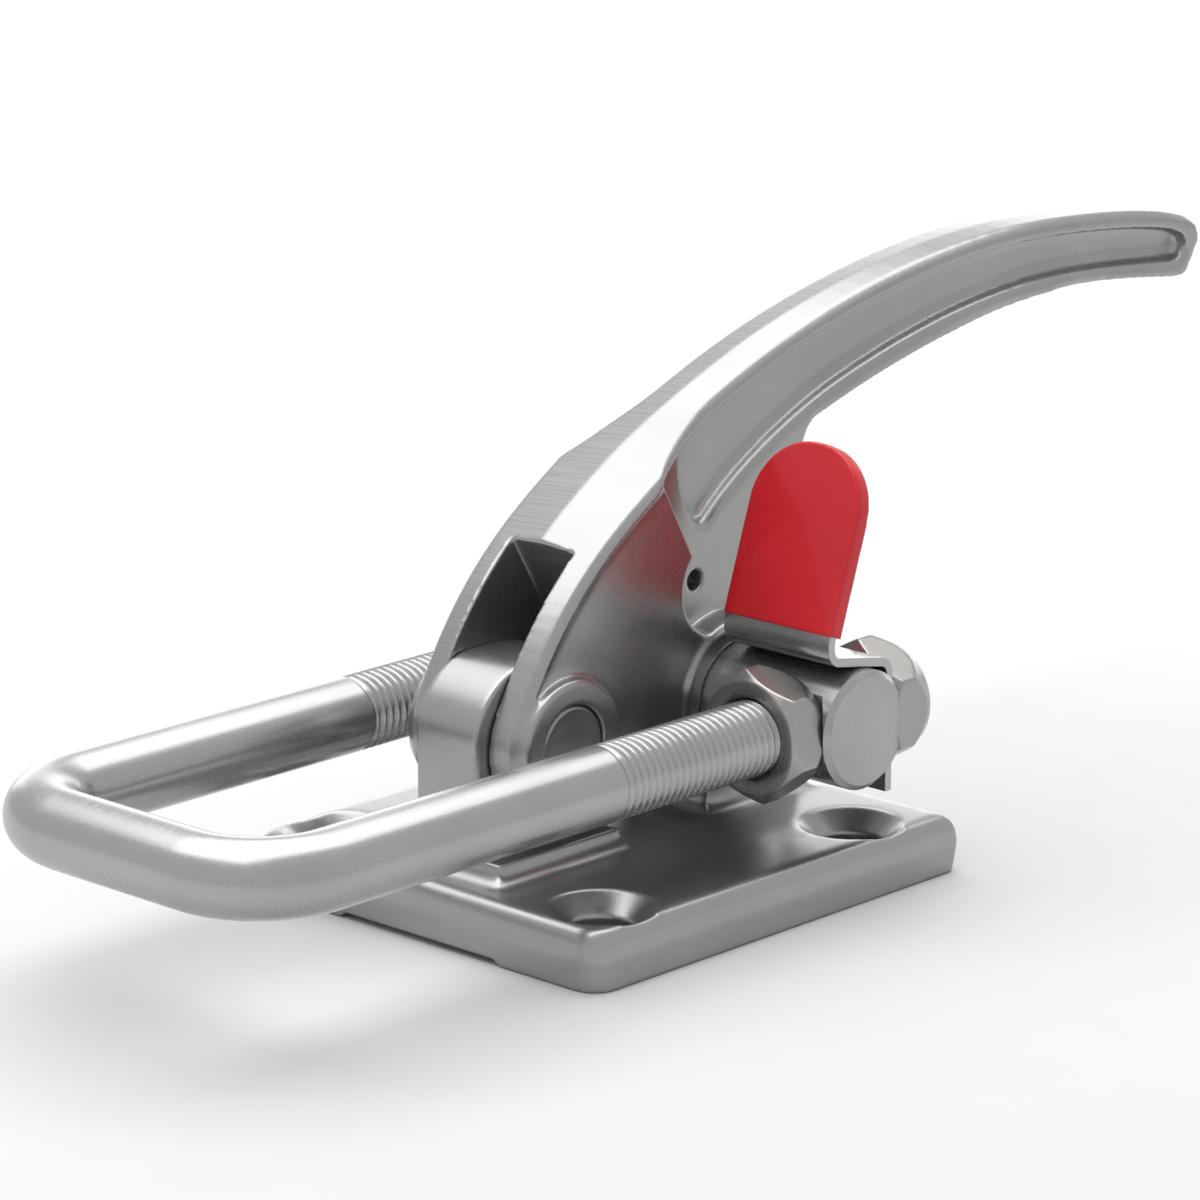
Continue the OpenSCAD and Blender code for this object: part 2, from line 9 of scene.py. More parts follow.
import bmesh
import bpy
import numpy as np
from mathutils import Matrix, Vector

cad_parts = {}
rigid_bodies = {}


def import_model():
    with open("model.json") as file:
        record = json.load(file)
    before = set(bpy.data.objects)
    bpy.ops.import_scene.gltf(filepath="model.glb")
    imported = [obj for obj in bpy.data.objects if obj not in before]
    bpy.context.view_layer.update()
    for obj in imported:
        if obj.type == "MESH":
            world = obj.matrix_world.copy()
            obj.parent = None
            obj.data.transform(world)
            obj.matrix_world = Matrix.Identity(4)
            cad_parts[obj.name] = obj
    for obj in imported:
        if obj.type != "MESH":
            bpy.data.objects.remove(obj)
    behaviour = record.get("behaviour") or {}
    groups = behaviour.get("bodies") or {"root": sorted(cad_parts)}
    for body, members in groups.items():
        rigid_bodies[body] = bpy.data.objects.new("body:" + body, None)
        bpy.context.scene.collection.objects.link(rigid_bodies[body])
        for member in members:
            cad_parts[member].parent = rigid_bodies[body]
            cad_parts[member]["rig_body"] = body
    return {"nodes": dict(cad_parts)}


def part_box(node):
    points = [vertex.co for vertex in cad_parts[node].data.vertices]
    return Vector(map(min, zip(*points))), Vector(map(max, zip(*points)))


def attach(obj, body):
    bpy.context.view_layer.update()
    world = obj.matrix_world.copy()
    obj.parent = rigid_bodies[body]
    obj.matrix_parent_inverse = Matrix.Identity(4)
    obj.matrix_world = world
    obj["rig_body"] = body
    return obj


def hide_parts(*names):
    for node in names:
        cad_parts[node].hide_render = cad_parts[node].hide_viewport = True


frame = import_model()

LOG = logging.getLogger("latch")
MM = 0.001
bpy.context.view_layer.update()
Weight = Callable[[np.ndarray], np.ndarray]


class Slot(Enum):
    """Material slots of the record."""

    FORGED = "forged_steel"
    TURNED = "turned_steel"
    NUT = "nut_steel"
    PIN = "pin_steel"
    SHEET = "sheet_steel"
    VINYL = "red_vinyl"


class Side(Enum):
    """The two legs of the U-bolt, by the sign of their Y."""

    NEAR = -1
    FAR = 1


@dataclass(frozen=True)
class Sizes:
    """Driving sizes in millimetres, as in the part's source but for the nuts' front chamfer.

    Attributes:
        front_chamfer: length of that chamfer along the leg, deeper here than in the source.
    """

    hole_pitch: float = 76.2
    pivot_x: float = -24.0
    pivot_z: float = 38.6
    pin_d: float = 17.5
    fork_w: float = 30.8
    cheek_r: float = 14.4
    gable_fall: float = 0.11
    rim_break: float = 1.5
    rod_x: float = 28.5
    rod_z: float = 37.5
    rod_d: float = 25.4
    bar_d: float = 16.0
    leg_pitch: float = 72.2
    bend_r: float = 18.0
    bail_x: float = -129.3
    leg_end: float = 54.0
    thread_start: float = -37.0
    thread_pitch: float = 2.0
    thread_depth: float = 1.08
    nut_af: float = 25.0
    nut_hex_len: float = 5.8
    nut_taper_d: float = 23.0
    front_chamfer: float = 1.7

    @property
    def leg_y(self) -> float:
        """Distance of each leg's axis from the middle plane."""
        return self.leg_pitch / 2


@dataclass(frozen=True)
class Shot:
    """The photograph's camera, in the part's frame."""

    place_mm: tuple[float, float, float] = (-749.0, -709.1, 339.7)
    azimuth: float = -46.632
    elevation: float = 15.086
    lens: float = 154.63
    sensor: float = 36.0


@dataclass(frozen=True)
class Panel:
    """A soft rectangular light.

    Attributes:
        name: its name.
        place: where its middle is, in metres.
        size: its width and height, in metres.
        radiance: how bright its face looks.
        target: what it faces.
    """

    name: str
    place: tuple[float, float, float]
    size: tuple[float, float]
    radiance: float
    target: tuple[float, float, float]


@dataclass(frozen=True)
class SteelFinish:
    """How one kind of steel surface looks.

    Attributes:
        name: name of the material.
        tone: base colour, linear.
        rough: lowest and highest roughness.
        grain: fineness of the grain along X, Y and Z, in lines per millimetre.
        depth: height of the grain, in millimetres.
        spread: how far the grain tints the colour, from 0 to 1.
        rings: middle of the turned faces, in metres, or None.
        belted: whether its upper surfaces were belted across their width.
    """

    name: str
    tone: tuple[float, float, float]
    rough: tuple[float, float]
    grain: tuple[float, float, float]
    depth: float
    spread: float
    rings: tuple[float, float, float] | None = None
    belted: bool = False


SIZES = Sizes()
SHOT = Shot()
# Lower edge of the pocket in the arm's side, X and Z in millimetres, from its toe to the tip
POCKET_EDGE = ((20.0, 78.0), (25.2, 74.8), (45.0, 88.6), (69.1, 98.6), (100.0, 105.9),
               (136.9, 110.3), (165.0, 109.6), (184.4, 107.5))

FORGED = SteelFinish("forged_satin", (0.36, 0.36, 0.357), (0.28, 0.34), (0.5, 0.5, 0.5), 0.0006, 0.04)
BELTED = SteelFinish("belted_satin", (0.35, 0.35, 0.347), (0.27, 0.32), (0.5, 0.5, 0.5), 0.0007, 0.04,
                     belted=True)
TURNED = SteelFinish("turned_bar", (0.40, 0.40, 0.395), (0.24, 0.30), (0.05, 1.2, 1.2), 0.0006, 0.04)
ROD = SteelFinish("turned_rod", (0.36, 0.36, 0.355), (0.24, 0.30), (1.2, 0.05, 1.2), 0.0006, 0.04,
                  rings=(SIZES.rod_x * MM, 0.0, SIZES.rod_z * MM))
NUT = SteelFinish("machined_nut", (0.36, 0.35, 0.34), (0.26, 0.32), (0.2, 0.7, 0.7), 0.0004, 0.05)
PIN = SteelFinish("faced_pin", (0.31, 0.295, 0.285), (0.30, 0.36), (0.8, 0.2, 0.8), 0.0005, 0.06,
                  rings=(SIZES.pivot_x * MM, 0.0, SIZES.pivot_z * MM))
SHEET = SteelFinish("rolled_sheet", (0.40, 0.40, 0.395), (0.20, 0.25), (0.2, 1.0, 0.2), 0.0005, 0.03)

# Metallic value of every steel
METAL = 0.88
# The noise's usual lowest and highest value
NOISE_SPAN = (0.3, 0.7)
# Fineness of the belt's lines, which run along Y
BELT_GRAIN = (2.4, 0.02, 2.4)
# Contrast of the belt's lines, and what brings their mean back to that of the grain
BELT_CONTRAST = 2.4
BELT_SHIFT = -0.7
# How much lighter a convex edge is painted, as a painted highlight, and how much smoother a worn edge is
EDGE_HIGHLIGHT_PAINT = 0.12
WEAR_SMOOTH = 0.03
# Tool marks on turned faces: radians of the wave for each metre of radius, and their height
RING_WAVE = 9000.0
RING_DEPTH = 0.001
# The two reds of the vinyl, and the height of its orange peel in millimetres
VINYL_REDS = ((0.50, 0.012, 0.018), (0.55, 0.014, 0.022))
PEEL_DEPTH = 0.01

# Share of the way to its neighbours that a point goes, and what it then takes back
PULL = 0.55
TAKEN_BACK = 0.30
# The same for a point that moves along its normal
EASE = 0.6

SURROUND = 0.75
OVERHEAD = Panel("overhead", (0.2, 0.45, 1.3), (2.2, 1.7), 2.3, (0.2, 0.45, 0.0))
REAR_BANK = Panel("rear_bank", (1.5, 1.3, 0.35), (2.6, 0.7), 1.6, (0.03, 0.0, 0.05))


class NodeTree:
    """Short hand for wiring a shader node tree."""

    def __init__(self, tree: bpy.types.NodeTree) -> None:
        """Keeps the tree.

        Args:
            tree: the tree to add nodes to.
        """
        self.tree = tree

    def add(self, kind: str, **values: object) -> bpy.types.Node:
        """Adds a node.

        Args:
            kind: the node's type name.
            values: attributes to set on it.

        Returns:
            The node.
        """
        node = self.tree.nodes.new(kind)
        for key, value in values.items():
            setattr(node, key, value)
        return node

    def link(self, source: bpy.types.NodeSocket, target: bpy.types.NodeSocket) -> None:
        """Joins two sockets.

        Args:
            source: an output.
            target: an input.
        """
        self.tree.links.new(source, target)

    def math(self, operation: str, a: object, b: object = None) -> bpy.types.NodeSocket:
        """Adds a math node.

        Args:
            operation: what it works out.
            a: first input, a socket or a number.
            b: second input, a socket or a number.

        Returns:
            The node's output.
        """
        node = self.add("ShaderNodeMath", operation=operation)
        for socket, value in zip(node.inputs, (a, b)):
            if isinstance(value, bpy.types.NodeSocket):
                self.link(value, socket)
            elif value is not None:
                socket.default_value = value
        return node.outputs[0]

    def split(self, vector: bpy.types.NodeSocket) -> list[bpy.types.NodeSocket]:
        """Takes a vector apart.

        Args:
            vector: the vector.

        Returns:
            Its X, Y and Z.
        """
        node = self.add("ShaderNodeSeparateXYZ")
        self.link(vector, node.inputs[0])
        return list(node.outputs)

    def ranged(
        self,
        value: bpy.types.NodeSocket,
        source: tuple[float, float],
        target: tuple[float, float] = (0.0, 1.0),
    ) -> bpy.types.NodeSocket:
        """Maps a value from one range to another, and holds it there.

        Args:
            value: the value.
            source: lowest and highest value that comes in.
            target: what they become.

        Returns:
            The mapped value.
        """
        node = self.add("ShaderNodeMapRange")
        for key, limit in zip(("From Min", "From Max", "To Min", "To Max"), source + target):
            node.inputs[key].default_value = limit
        self.link(value, node.inputs["Value"])
        return node.outputs[0]

    def two_tone(
        self,
        value: bpy.types.NodeSocket,
        tones: tuple[tuple[float, float, float], tuple[float, float, float]],
        span: tuple[float, float] = (0.0, 1.0),
    ) -> bpy.types.NodeSocket:
        """Blends two colours by a value.

        Args:
            value: the value.
            tones: the colour at its low end and the one at its high end.
            span: where those ends are.

        Returns:
            The colour.
        """
        node = self.add("ShaderNodeValToRGB")
        for stop, place, tone in zip(node.color_ramp.elements, span, tones):
            stop.position = place
            stop.color = (*tone, 1.0)
        self.link(value, node.inputs[0])
        return node.outputs[0]

    def bumped(
        self,
        height: bpy.types.NodeSocket,
        strength: float,
        depth: float,
        normal: bpy.types.NodeSocket | None = None,
    ) -> bpy.types.NodeSocket:
        """Turns a height into a normal.

        Args:
            height: the height.
            strength: how much of it counts.
            depth: what a height of 1 stands for, in millimetres.
            normal: the normal under it, if another bump made one.

        Returns:
            The normal.
        """
        node = self.add("ShaderNodeBump")
        node.inputs["Strength"].default_value = strength
        node.inputs["Distance"].default_value = depth * MM
        self.link(height, node.inputs["Height"])
        if normal is not None:
            self.link(normal, node.inputs["Normal"])
        return node.outputs[0]

    def group(self, tree: bpy.types.NodeTree) -> bpy.types.Node:
        """Adds a shared group.

        Args:
            tree: the group's tree.

        Returns:
            The group node.
        """
        node = self.add("ShaderNodeGroup")
        node.node_tree = tree
        return node


class ShaderGroups:
    """Shared effects, each one node group made once."""

    def __init__(self) -> None:
        """Makes the groups."""
        self.grain = self._grain()
        self.rings = self._rings()
        self.wear_and_highlight = self._wear_and_highlight()
        self.rim = self._rim()

    @staticmethod
    def _new(name: str, inputs: dict[str, str], outputs: dict[str, str]) -> tuple[NodeTree, dict]:
        """Starts a group.

        Args:
            name: the group's name.
            inputs: socket type of each input.
            outputs: socket type of each output.

        Returns:
            The tree, and its input and output nodes.
        """
        tree = bpy.data.node_groups.new(name, "ShaderNodeTree")
        for key, kind in inputs.items():
            tree.interface.new_socket(name=key, in_out="INPUT", socket_type=kind)
        for key, kind in outputs.items():
            tree.interface.new_socket(name=key, in_out="OUTPUT", socket_type=kind)
        kit = NodeTree(tree)
        ends = {"in": kit.add("NodeGroupInput"), "out": kit.add("NodeGroupOutput")}
        return kit, ends

    def _grain(self) -> bpy.types.NodeTree:
        """Streaks or mottling, by the stretch of its vector input.

        Returns:
            The group.
        """
        kit, ends = self._new(
            "surface_grain",
            {"Vector": "NodeSocketVector", "Stretch": "NodeSocketVector"},
            {"Fine": "NodeSocketFloat", "Broad": "NodeSocketFloat"},
        )
        scaled = kit.add("ShaderNodeVectorMath", operation="MULTIPLY")
        kit.link(ends["in"].outputs["Vector"], scaled.inputs[0])
        kit.link(ends["in"].outputs["Stretch"], scaled.inputs[1])
        fine = kit.add("ShaderNodeTexNoise")
        fine.inputs["Scale"].default_value = 1.0 / MM
        fine.inputs["Detail"].default_value = 2.0
        fine.inputs["Roughness"].default_value = 0.6
        kit.link(scaled.outputs[0], fine.inputs["Vector"])
        broad = kit.add("ShaderNodeTexNoise")
        broad.inputs["Scale"].default_value = 45.0
        broad.inputs["Detail"].default_value = 2.0
        kit.link(ends["in"].outputs["Vector"], broad.inputs["Vector"])
        kit.link(fine.outputs["Fac"], ends["out"].inputs["Fine"])
        kit.link(broad.outputs["Fac"], ends["out"].inputs["Broad"])
        return kit.tree

    def _rings(self) -> bpy.types.NodeTree:
        """Fine tool marks round an axis along Y, on faces square to it.

        Returns:
            The group.
        """
        kit, ends = self._new(
            "turned_rings",
            {"Vector": "NodeSocketVector", "Centre": "NodeSocketVector"},
            {"Height": "NodeSocketFloat"},
        )
        moved = kit.add("ShaderNodeVectorMath", operation="SUBTRACT")
        kit.link(ends["in"].outputs["Vector"], moved.inputs[0])
        kit.link(ends["in"].outputs["Centre"], moved.inputs[1])
        x, _, z = kit.split(moved.outputs[0])
        radius = kit.math("SQRT", kit.math("ADD", kit.math("POWER", x, 2.0), kit.math("POWER", z, 2.0)))
        wave = kit.math("SINE", kit.math("MULTIPLY", radius, RING_WAVE))
        facing = kit.split(kit.add("ShaderNodeTexCoord").outputs["Normal"])
        square = kit.math("GREATER_THAN", kit.math("ABSOLUTE", facing[1]), 0.95)
        kit.link(kit.math("MULTIPLY", wave, square), ends["out"].inputs["Height"])
        return kit.tree

    def _wear_and_highlight(self) -> bpy.types.NodeTree:
        """Mask of the convex edges, which handling has polished and where a painted highlight lightens
        the colour.

        Returns:
            The group.
        """
        kit, ends = self._new(
            "edge_wear_and_painted_highlight",
            {"Break": "NodeSocketFloat"},
            {"Mask": "NodeSocketFloat"},
        )
        edge = kit.ranged(kit.add("ShaderNodeNewGeometry").outputs["Pointiness"], (0.515, 0.60))
        kit.link(kit.math("MULTIPLY", edge, ends["in"].outputs["Break"]), ends["out"].inputs["Mask"])
        return kit.tree

    def _rim(self) -> bpy.types.NodeTree:
        """Mask of the surfaces that were belted across their width, and where their lines run.

        Returns:
            The group.
        """
        kit, ends = self._new(
            "belted_rim",
            {"Vector": "NodeSocketVector", "Sharpness": "NodeSocketFloat"},
            {"Mask": "NodeSocketFloat", "Across": "NodeSocketVector"},
        )
        normal = kit.add("ShaderNodeTexCoord").outputs["Normal"]
        lean = kit.math("ABSOLUTE", kit.split(normal)[1])
        upper = kit.math("MULTIPLY", kit.math("SUBTRACT", 1.0, lean), ends["in"].outputs["Sharpness"])
        kit.link(kit.ranged(upper, (0.55, 0.85)), ends["out"].inputs["Mask"])
        beside = kit.math("ABSOLUTE", kit.split(ends["in"].outputs["Vector"])[1])
        raised = kit.add("ShaderNodeVectorMath", operation="SCALE")
        kit.link(normal, raised.inputs[0])
        kit.link(kit.math("MULTIPLY", beside, lean), raised.inputs["Scale"])
        across = kit.add("ShaderNodeVectorMath", operation="ADD")
        kit.link(ends["in"].outputs["Vector"], across.inputs[0])
        kit.link(raised.outputs[0], across.inputs[1])
        kit.link(across.outputs[0], ends["out"].inputs["Across"])
        return kit.tree


class Materials:
    """Makes each material once and hands it out."""

    def __init__(self) -> None:
        """Prepares the shared groups."""
        self.groups = ShaderGroups()
        self.made: dict[str, bpy.types.Material] = {}

    @staticmethod
    def _blank(name: str) -> tuple[bpy.types.Material, NodeTree, bpy.types.Node]:
        """A new material with only a principled shader.

        Args:
            name: the material's name.

        Returns:
            The material, its tree and the shader.
        """
        material = bpy.data.materials.new(name)
        material.use_nodes = True
        kit = NodeTree(material.node_tree)
        shader = next(n for n in kit.tree.nodes if n.type == "BSDF_PRINCIPLED")
        return material, kit, shader

    def _grained(
        self, kit: NodeTree, place: bpy.types.NodeSocket, stretch: tuple[float, float, float]
    ) -> bpy.types.Node:
        """Adds the shared grain to a material.

        Args:
            kit: the material's tree.
            place: where the grain is looked up.
            stretch: its fineness along X, Y and Z.

        Returns:
            The group node.
        """
        grain = kit.group(self.groups.grain)
        grain.inputs["Stretch"].default_value = stretch
        kit.link(place, grain.inputs["Vector"])
        return grain

    def _belt_lines(
        self, kit: NodeTree, place: bpy.types.NodeSocket, plain: bpy.types.NodeSocket
    ) -> bpy.types.NodeSocket:
        """Puts belt lines in the grain's stead, on the surfaces that were belted.

        Args:
            kit: the material's tree.
            place: the object's position.
            plain: height of the grain.

        Returns:
            The height of both.
        """
        rim = kit.group(self.groups.rim)
        rim.inputs["Sharpness"].default_value = 1.0
        kit.link(place, rim.inputs["Vector"])
        belt = self._grained(kit, rim.outputs["Across"], BELT_GRAIN)
        sharp = kit.math("MULTIPLY", belt.outputs["Fine"], BELT_CONTRAST)
        mix = kit.add("ShaderNodeMix", data_type="FLOAT")
        kit.link(rim.outputs["Mask"], mix.inputs["Factor"])
        kit.link(plain, mix.inputs["A"])
        kit.link(kit.math("ADD", sharp, BELT_SHIFT), mix.inputs["B"])
        return mix.outputs["Result"]

    def steel(self, finish: SteelFinish) -> bpy.types.Material:
        """A steel surface with grain, worn edges that carry a painted highlight and, if turned, tool
        marks.

        Args:
            finish: how it looks.

        Returns:
            The material.
        """
        if finish.name in self.made:
            return self.made[finish.name]
        material, kit, shader = self._blank(finish.name)
        place = kit.add("ShaderNodeTexCoord").outputs["Object"]
        grain = self._grained(kit, place, finish.grain)
        wear_and_highlight = kit.group(self.groups.wear_and_highlight)
        wear_and_highlight.inputs["Break"].default_value = 0.8
        height = grain.outputs["Fine"]
        if finish.belted:
            height = self._belt_lines(kit, place, height)
        tint = kit.ranged(grain.outputs["Broad"], NOISE_SPAN, (1.0 - finish.spread, 1.0 + finish.spread))
        # Convex edges are painted lighter here: a painted highlight, not a colour of the steel.
        worn_and_highlighted = kit.math("ADD", tint, kit.math("MULTIPLY", wear_and_highlight.outputs["Mask"], EDGE_HIGHLIGHT_PAINT))
        streak = kit.math("MULTIPLY", kit.math("SUBTRACT", height, 0.5), finish.spread * 2.0)
        colour = kit.add("ShaderNodeVectorMath", operation="SCALE")
        colour.inputs[0].default_value = finish.tone
        kit.link(kit.math("ADD", worn_and_highlighted, streak), colour.inputs["Scale"])
        kit.link(colour.outputs[0], shader.inputs["Base Color"])
        rough = kit.ranged(height, NOISE_SPAN, finish.rough)
        polish = kit.math("MULTIPLY", wear_and_highlight.outputs["Mask"], WEAR_SMOOTH)
        kit.link(kit.math("SUBTRACT", rough, polish), shader.inputs["Roughness"])
        normal = kit.bumped(height, 0.6, finish.depth)
        if finish.rings is not None:
            rings = kit.group(self.groups.rings)
            rings.inputs["Centre"].default_value = finish.rings
            kit.link(place, rings.inputs["Vector"])
            normal = kit.bumped(rings.outputs["Height"], 0.2, RING_DEPTH, normal)
        kit.link(normal, shader.inputs["Normal"])
        shader.inputs["Metallic"].default_value = METAL
        self.made[finish.name] = material
        return material

    def vinyl(self) -> bpy.types.Material:
        """Dipped red vinyl: a soft gloss over a faint orange peel.

        Returns:
            The material.
        """
        material, kit, shader = self._blank("dipped_vinyl")
        place = kit.add("ShaderNodeTexCoord").outputs["Object"]
        grain = self._grained(kit, place, (0.55, 0.55, 0.55))
        broad = grain.outputs["Broad"]
        kit.link(kit.two_tone(broad, VINYL_REDS, NOISE_SPAN), shader.inputs["Base Color"])
        kit.link(kit.ranged(broad, (0.0, 1.0), (0.24, 0.30)), shader.inputs["Roughness"])
        kit.link(kit.bumped(grain.outputs["Fine"], 0.1, PEEL_DEPTH), shader.inputs["Normal"])
        shader.inputs["Specular IOR Level"].default_value = 0.25
        shader.inputs["Coat Weight"].default_value = 0.25
        shader.inputs["Coat Roughness"].default_value = 0.05
        return material

    def floor(self) -> bpy.types.Material:
        """Pale matt floor.

        Returns:
            The material.
        """
        material, kit, shader = self._blank("pale_floor")
        place = kit.add("ShaderNodeTexCoord").outputs["Object"]
        grain = self._grained(kit, place, (0.1, 0.1, 0.1))
        pale = kit.two_tone(grain.outputs["Broad"], ((0.61, 0.61, 0.61), (0.63, 0.63, 0.63)))
        kit.link(pale, shader.inputs["Base Color"])
        shader.inputs["Roughness"].default_value = 0.9
        shader.inputs["Specular IOR Level"].default_value = 0.1
        return material


MATERIALS = Materials()


def smoothstep(value: np.ndarray, low: float, high: float) -> np.ndarray:
    """Smooth rise from 0 at low to 1 at high.

    Args:
        value: where to look.
        low: start of the rise.
        high: end of the rise.

    Returns:
        The height there.
    """
    t = np.clip((value - low) / (high - low), 0.0, 1.0)
    return t * t * (3 - 2 * t)


def reach_from(p: np.ndarray, x: float, z: float) -> np.ndarray:
    """Distance of points from an axis along Y.

    Args:
        p: the points.
        x: place of the axis.
        z: its height.

    Returns:
        The distances.
    """
    return np.hypot(p[:, 0] - x, p[:, 2] - z)


class Net:
    """The points of a piece's mesh, and the edges between them."""

    def __init__(self, piece: bpy.types.Object) -> None:
        """Reads the mesh.

        Args:
            piece: the object.
        """
        self.mesh = piece.data
        self.count = len(self.mesh.vertices)
        places = np.empty(self.count * 3)
        self.mesh.vertices.foreach_get("co", places)
        self.places = places.reshape(-1, 3)
        ends = np.empty(len(self.mesh.edges) * 2, dtype=np.int64)
        self.mesh.edges.foreach_get("vertices", ends)
        self.near = np.bincount(ends, minlength=self.count).astype(float)[:, None]
        self.ends = ends.reshape(-1, 2)

    def pulls(self) -> np.ndarray:
        """How the neighbours draw each point.

        Returns:
            The way from each point to the mean of its neighbours.
        """
        total = np.zeros_like(self.places)
        for axis in range(3):
            for here, there in (self.ends.T, self.ends.T[::-1]):
                total[:, axis] += np.bincount(here, self.places[there, axis], self.count)
        return total / self.near - self.places

    def shares(self, weight: Weight | None) -> np.ndarray:
        """Each point's share of a move.

        Args:
            weight: gives the share from the place in millimetres, or None for the full move.

        Returns:
            The shares.
        """
        return np.ones(self.count) if weight is None else weight(self.places / MM)

    def write(self) -> None:
        """Puts the points back into the mesh."""
        self.mesh.vertices.foreach_set("co", self.places.ravel())
        self.mesh.update()


class MeshTools:
    """Mesh work that several pieces share."""

    @staticmethod
    def from_bmesh(name: str, bm: bmesh.types.BMesh) -> bpy.types.Object:
        """Turns a bmesh into a linked, smooth object.

        Args:
            name: the object's name.
            bm: its mesh, which is freed.

        Returns:
            The object.
        """
        bmesh.ops.recalc_face_normals(bm, faces=bm.faces)
        mesh = bpy.data.meshes.new(name)
        bm.to_mesh(mesh)
        bm.free()
        for polygon in mesh.polygons:
            polygon.use_smooth = True
        piece = bpy.data.objects.new(name, mesh)
        bpy.context.scene.collection.objects.link(piece)
        return piece

    @staticmethod
    def welded(node: str) -> bmesh.types.BMesh:
        """A copy of a CAD node's mesh, its faces joined along their edges.

        Args:
            node: the CAD node.

        Returns:
            The copy.
        """
        bm = bmesh.new()
        bm.from_mesh(frame["nodes"][node].data)
        bmesh.ops.remove_doubles(bm, verts=bm.verts, dist=1e-6)
        return bm

    @staticmethod
    def applied(piece: bpy.types.Object) -> None:
        """Replaces the piece's mesh by the one its modifiers make.

        Args:
            piece: the object.
        """
        graph = bpy.context.evaluated_depsgraph_get()
        mesh = bpy.data.meshes.new_from_object(piece.evaluated_get(graph))
        piece.modifiers.clear()
        old = piece.data
        piece.data = mesh
        bpy.data.meshes.remove(old)

    @staticmethod
    def remeshed(node: str, name: str, voxel_mm: float) -> bpy.types.Object:
        """A copy of a CAD node as one even net of small faces.

        Args:
            node: the CAD node.
            name: the new piece's name.
            voxel_mm: size of the faces.

        Returns:
            The new piece.
        """
        piece = MeshTools.from_bmesh(name, MeshTools.welded(node))
        net = piece.modifiers.new("net", "REMESH")
        net.mode = "VOXEL"
        net.voxel_size = voxel_mm * MM
        net.use_smooth_shade = True
        MeshTools.applied(piece)
        return piece

    @staticmethod
    def bevelled(node: str, name: str, width_mm: float) -> bpy.types.Object:
        """A copy of a machined CAD node with its sharp edges lightly broken.

        Args:
            node: the CAD node.
            name: the new piece's name.
            width_mm: width of the broken edges.

        Returns:
            The new piece.
        """
        bm = MeshTools.welded(node)
        bmesh.ops.dissolve_limit(bm, angle_limit=math.radians(0.4), verts=bm.verts,
                                 edges=bm.edges)
        piece = MeshTools.from_bmesh(name, bm)
        bevel = piece.modifiers.new("bevel", "BEVEL")
        bevel.width = width_mm * MM
        bevel.segments = 3
        bevel.limit_method = "ANGLE"
        bevel.angle_limit = math.radians(28)
        even = piece.modifiers.new("even", "WEIGHTED_NORMAL")
        even.weight = 80
        MeshTools.applied(piece)
        return piece

    @staticmethod
    def relaxed(
        piece: bpy.types.Object, passes: int, weight: Weight | None = None, full: bool = False
    ) -> None:
        """Rounds a piece's edges by moving each point towards its neighbours.

        Args:
            piece: the object.
            passes: how often each point moves twice.
            weight: gives each point's share of the move, from its place in millimetres.
            full: whether each second move goes on, instead of taking some of the first one back
                so that the piece keeps its size.
        """
        net = Net(piece)
        share = net.shares(weight)[:, None]
        second = PULL if full else -TAKEN_BACK
        for _ in range(passes):
            for pull in (PULL, second):
                net.places = net.places + pull * share * net.pulls()
        net.write()

    @staticmethod
    def eased(
        piece: bpy.types.Object, passes: int, weight: Weight | None = None, proud: bool = False
    ) -> None:
        """Fills a piece's hollow corners, or rounds its proud edges, and leaves the others.

        Args:
            piece: the object.
            passes: how often each point moves, which sets the radius.
            weight: gives each point's share of the move, from its place in millimetres.
            proud: whether proud edges are rounded, instead of hollow corners filled.
        """
        net = Net(piece)
        share = net.shares(weight)
        sign = -1.0 if proud else 1.0
        normals = np.empty(net.count * 3)
        for _ in range(passes):
            net.mesh.vertex_normals.foreach_get("vector", normals)
            out = normals.reshape(-1, 3)
            rise = sign * np.einsum("ij,ij->i", net.pulls(), out)
            net.places = net.places + (EASE * sign * share * np.maximum(rise, 0.0))[:, None] * out
            net.write()

    @staticmethod
    def thinned(piece: bpy.types.Object, share: float) -> None:
        """Merges small faces, and keeps the shading of the full net.

        Args:
            piece: the object.
            share: how many of the faces stay.
        """
        full = bpy.data.objects.new(f"{piece.name}_full", piece.data.copy())
        bpy.context.scene.collection.objects.link(full)
        thin = piece.modifiers.new("thin", "DECIMATE")
        thin.ratio = share
        shade = piece.modifiers.new("shade", "DATA_TRANSFER")
        shade.object = full
        shade.use_loop_data = True
        shade.data_types_loops = {"CUSTOM_NORMAL"}
        shade.loop_mapping = "POLYINTERP_NEAREST"
        MeshTools.applied(piece)
        mesh = full.data
        bpy.data.objects.remove(full)
        bpy.data.meshes.remove(mesh)

    @staticmethod
    def ring_grid(name: str, rings: list[np.ndarray], closed: bool = False) -> bpy.types.Object:
        """A tube of quads through rings of equally many points, capped unless closed.

        Args:
            name: the object's name.
            rings: points of each ring, in millimetres.
            closed: whether the last ring joins the first.

        Returns:
            The object.
        """
        bm = bmesh.new()
        rows = [[bm.verts.new(Vector(p) * MM) for p in ring] for ring in rings]
        pairs = list(zip(rows, rows[1:]))
        if closed:
            pairs.append((rows[-1], rows[0]))
        for low, high in pairs:
            turn = len(low)
            for i in range(turn):
                j = (i + 1) % turn
                bm.faces.new((low[i], low[j], high[j], high[i]))
        if not closed:
            bm.faces.new(rows[0])
            bm.faces.new(rows[-1])
        return MeshTools.from_bmesh(name, bm)


